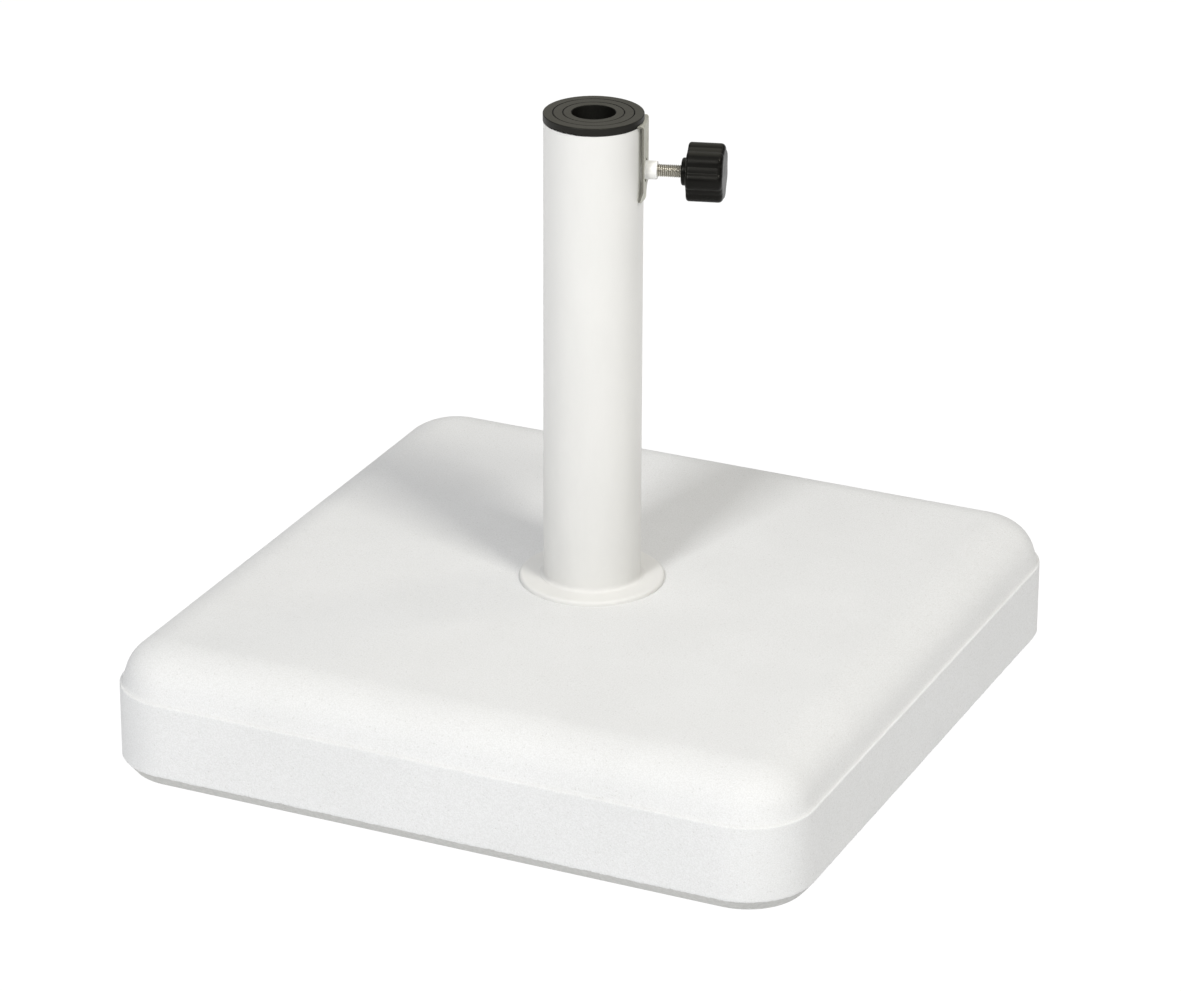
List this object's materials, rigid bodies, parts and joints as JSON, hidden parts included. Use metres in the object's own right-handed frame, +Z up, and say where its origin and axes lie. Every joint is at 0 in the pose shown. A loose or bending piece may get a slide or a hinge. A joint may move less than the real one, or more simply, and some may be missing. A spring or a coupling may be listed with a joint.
{
  "type": "parasol base",
  "caption": "Square white concrete garden parasol base with a steel standpipe, a side hand screw and nested black reducers that grip the pole.",
  "frame": {"origin": "middle of the footprint at floor level, on the standpipe's axis", "axes": "+Z up the standpipe, +X and +Y square to the block's sides; the clamp screw points 17 degrees from +X towards +Y"},
  "size_m": [0.45, 0.45, 0.3871],
  "materials": {
    "white_concrete": "painted cast concrete, matt, fine pits and grain",
    "white_paint": "white powder coat, satin",
    "zinc_steel": "zinc plated, dull",
    "black_plastic": "moulded, fine grain",
    "black_rubber": "matt"
  },
  "bodies": {
    "base": {"base_block": "white_concrete", "floor_pads": "black_rubber", "standpipe": "white_paint", "foot_flange": "white_paint", "foot_weld": "white_paint", "anchor_plate": "zinc_steel", "anchor_nut": "zinc_steel", "plate_washer": "zinc_steel", "spring_washer": "zinc_steel", "tie_bolt": "zinc_steel", "clamp_bush": "white_paint", "bush_weld": "white_paint", "clip": "zinc_steel"},
    "press_pad": {"pressure_pad": "zinc_steel"},
    "clamp_screw": {"clamp_stud": "zinc_steel", "knob": "black_plastic"},
    "outer_cap": {"outer_reducer": "black_plastic"},
    "middle_ring": {"middle_reducer": "black_plastic"},
    "inner_ring": {"inner_reducer": "black_plastic"}
  },
  "joints": [
    {"name": "pad_slide", "type": "slide", "parent": "base", "child": "press_pad", "axis": [-0.9563, -0.2924, 0], "range_m": [0, 0.01375]},
    {"name": "screw_turn", "type": "hinge", "parent": "press_pad", "child": "clamp_screw", "pos_m": [0, 0, 0.3525], "axis": [-0.9563, -0.2924, 0], "range_deg": [0, 3960]},
    {"name": "outer_lift", "type": "slide", "parent": "base", "child": "outer_cap", "axis": [0, 0, 1], "range_m": [0, 0.03]},
    {"name": "middle_lift", "type": "slide", "parent": "outer_cap", "child": "middle_ring", "axis": [0, 0, 1], "range_m": [0, 0.03]},
    {"name": "inner_lift", "type": "slide", "parent": "middle_ring", "child": "inner_ring", "axis": [0, 0, 1], "range_m": [0, 0.03]}
  ],
  "couplings": [
    {"joint": "pad_slide", "follows": "screw_turn", "m_per_rad": 0.00019894}
  ]
}
